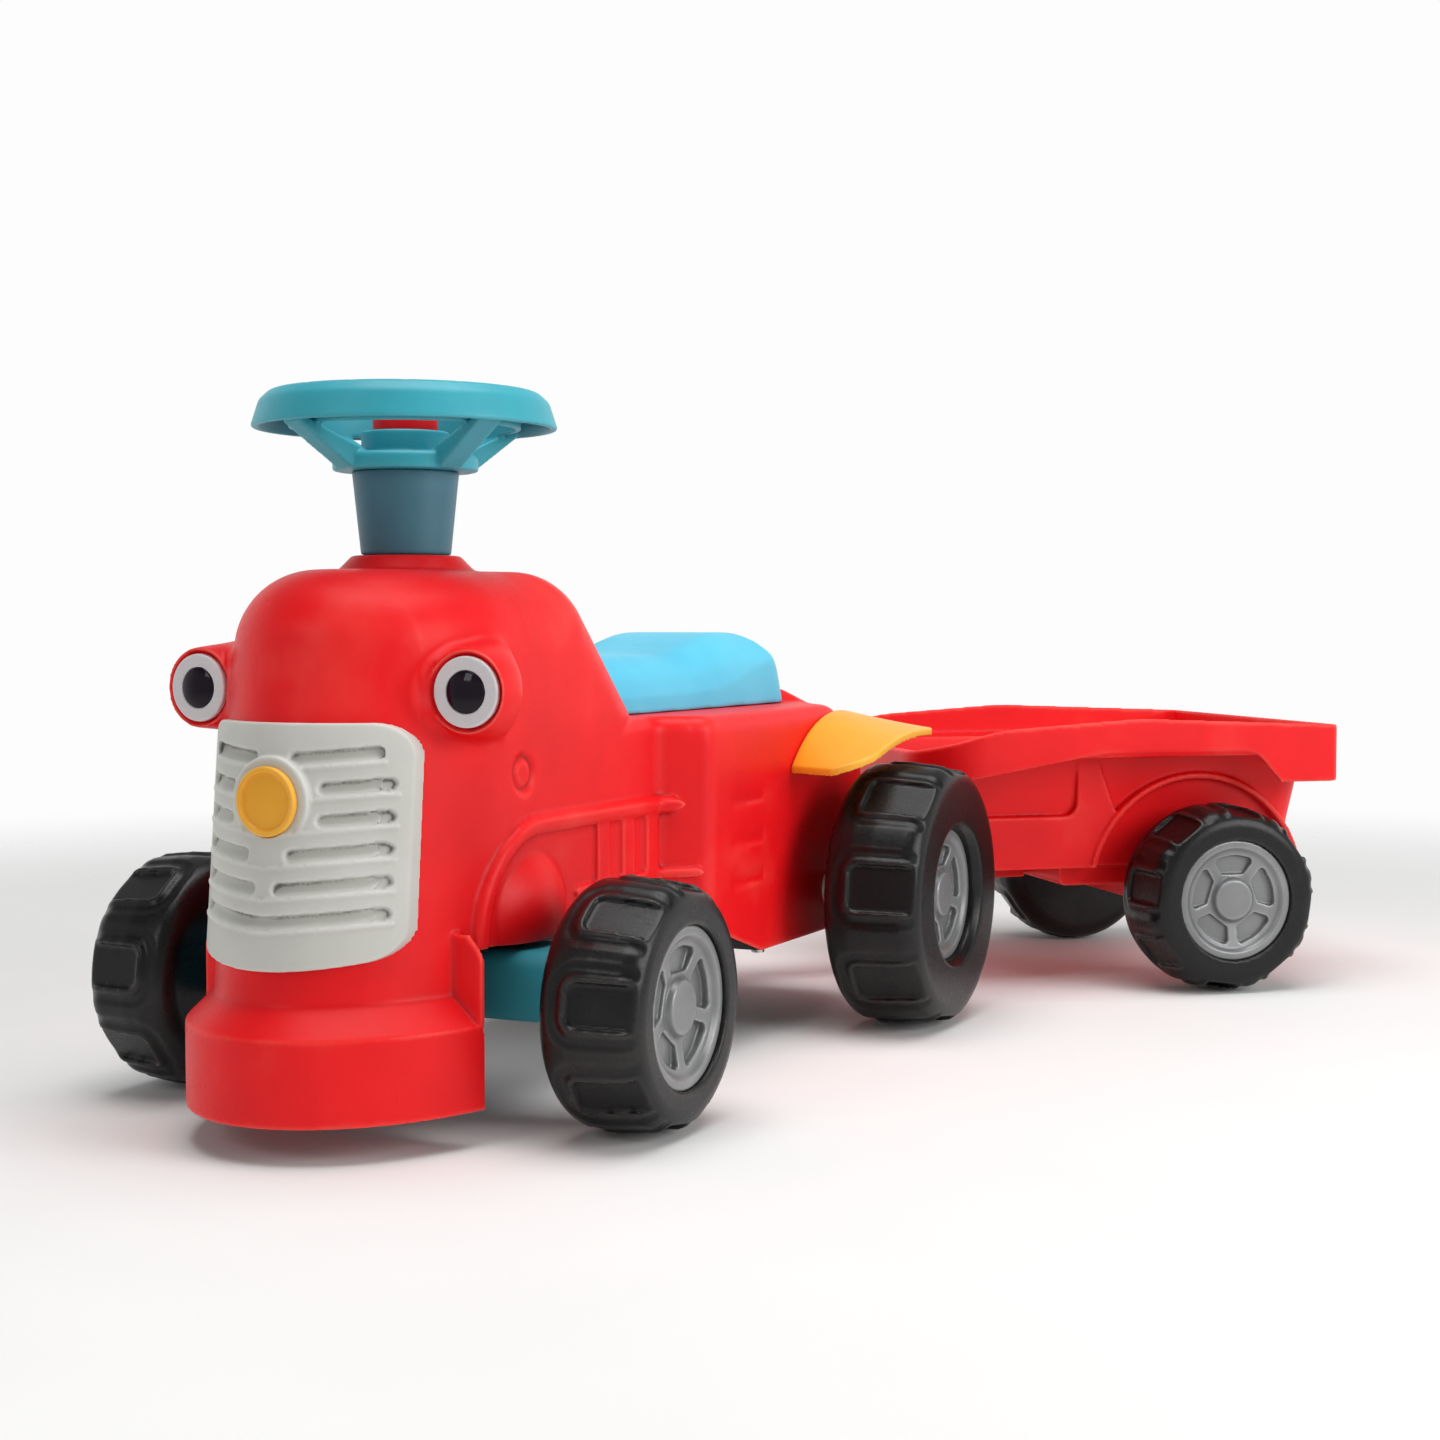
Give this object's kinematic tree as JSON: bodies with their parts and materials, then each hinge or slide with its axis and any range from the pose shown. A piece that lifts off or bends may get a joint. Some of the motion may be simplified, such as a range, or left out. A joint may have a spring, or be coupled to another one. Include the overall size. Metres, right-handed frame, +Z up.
{
  "type": "ride-on tractor toy with trailer",
  "caption": "Toddler's ride-on tractor with a steered front axle, press-down horn button, moulded seat and rolling wheels, pulling a tub trailer that swings on a hitch pin.",
  "frame": {"origin": "middle of the whole footprint on the floor, with the trailer swung as in the rest pose", "axes": "+Z up; the tractor faces -Y, so +Y runs back along it; +X is the tractor's left"},
  "size_m": [0.5655, 0.9534, 0.3774],
  "materials": {
    "red_body": "semi-gloss red polypropylene",
    "turquoise": "satin turquoise polypropylene",
    "blue_seat": "satin light blue polypropylene",
    "column_blue": "satin blue grey polypropylene",
    "grille_grey": "satin warm light grey polypropylene",
    "yellow": "semi-gloss yellow polypropylene",
    "lamp_white": "glossy white plastic",
    "lens_dark": "glossy dark plastic",
    "wheel_black": "satin black blow-moulded polyethylene",
    "hub_grey": "satin mid grey polypropylene",
    "underbody_black": "satin black polypropylene",
    "bush_natural": "natural acetal",
    "steel": "zinc-plated steel",
    "bellows_rubber": "soft moulded rubber"
  },
  "bodies": {
    "tractor": {"body_shell": "red_body", "underbody_plate": "underbody_black", "body_screws": "steel", "front_grille": "grille_grey", "grille_badge": "yellow", "headlamp_bezel_left": "lamp_white", "headlamp_bezel_right": "lamp_white", "headlamp_lens_left": "lens_dark", "headlamp_lens_right": "lens_dark", "seat": "blue_seat", "seat_screws": "steel", "fender_left": "yellow", "fender_right": "yellow", "fender_screws": "steel", "column_bush_upper": "bush_natural", "column_bush_lower": "bush_natural", "rear_axle": "steel", "rear_axle_bushes": "bush_natural", "rear_axle_spacers": "underbody_black", "rear_axle_nuts": "steel", "tow_tongue": "red_body", "tow_screws": "steel", "hitch_pin": "red_body"},
    "steering": {"steering_wheel": "turquoise", "steering_column": "column_blue", "steering_screw": "steel", "front_axle_carrier": "turquoise", "carrier_pin": "steel", "front_axle": "steel", "front_axle_nuts": "steel", "horn_bellows": "bellows_rubber"},
    "horn_button": {"horn_button": "red_body"},
    "trailer": {"trailer_tub": "red_body", "trailer_drawbar": "red_body", "drawbar_screws": "steel", "trailer_axle_block": "red_body", "block_screws": "steel", "trailer_axle": "steel", "trailer_axle_spacers": "underbody_black", "trailer_axle_nuts": "steel"},
    "front_wheel_left": {"front_tyre_left": "wheel_black", "front_hubcap_left": "hub_grey"},
    "front_wheel_right": {"front_tyre_right": "wheel_black", "front_hubcap_right": "hub_grey"},
    "rear_wheel_left": {"rear_tyre_left": "wheel_black", "rear_hubcap_left": "hub_grey"},
    "rear_wheel_right": {"rear_tyre_right": "wheel_black", "rear_hubcap_right": "hub_grey"},
    "trailer_wheel_left": {"trailer_tyre_left": "wheel_black", "trailer_hubcap_left": "hub_grey"},
    "trailer_wheel_right": {"trailer_tyre_right": "wheel_black", "trailer_hubcap_right": "hub_grey"}
  },
  "joints": [
    {"name": "steering_turn", "type": "hinge", "parent": "tractor", "child": "steering", "pos_m": [-0.09288, -0.33466, 0.0908], "axis": [0, 0, 1], "range_deg": [-20, 20]},
    {"name": "horn_press", "type": "slide", "parent": "steering", "child": "horn_button", "axis": [0, 0, -1], "range_m": [0, 0.006], "stiffness_N_per_m": 400, "springref_m": -0.002, "deforming": ["horn_bellows"]},
    {"name": "front_wheel_left_roll", "type": "hinge", "parent": "steering", "child": "front_wheel_left", "pos_m": [0.04661, -0.33466, 0.065], "axis": [1, 0, 0], "continuous": true},
    {"name": "rear_wheel_left_roll", "type": "hinge", "parent": "tractor", "child": "rear_wheel_left", "pos_m": [0.06562, 0.00534, 0.084], "axis": [1, 0, 0], "continuous": true},
    {"name": "trailer_wheel_left_roll", "type": "hinge", "parent": "trailer", "child": "trailer_wheel_left", "pos_m": [0.2136, 0.2198, 0.065], "axis": [0.6428, -0.766, 0], "continuous": true},
    {"name": "front_wheel_right_roll", "type": "hinge", "parent": "steering", "child": "front_wheel_right", "pos_m": [-0.23239, -0.33466, 0.065], "axis": [1, 0, 0], "continuous": true},
    {"name": "rear_wheel_right_roll", "type": "hinge", "parent": "tractor", "child": "rear_wheel_right", "pos_m": [-0.25139, 0.00534, 0.084], "axis": [1, 0, 0], "continuous": true},
    {"name": "trailer_wheel_right_roll", "type": "hinge", "parent": "trailer", "child": "trailer_wheel_right", "pos_m": [0.04647, 0.41897, 0.065], "axis": [0.6428, -0.766, 0], "continuous": true},
    {"name": "trailer_yaw", "type": "hinge", "parent": "tractor", "child": "trailer", "pos_m": [-0.09288, 0.13234, 0.0684], "axis": [0, 0, 1], "range_deg": [-10, 110]}
  ]
}
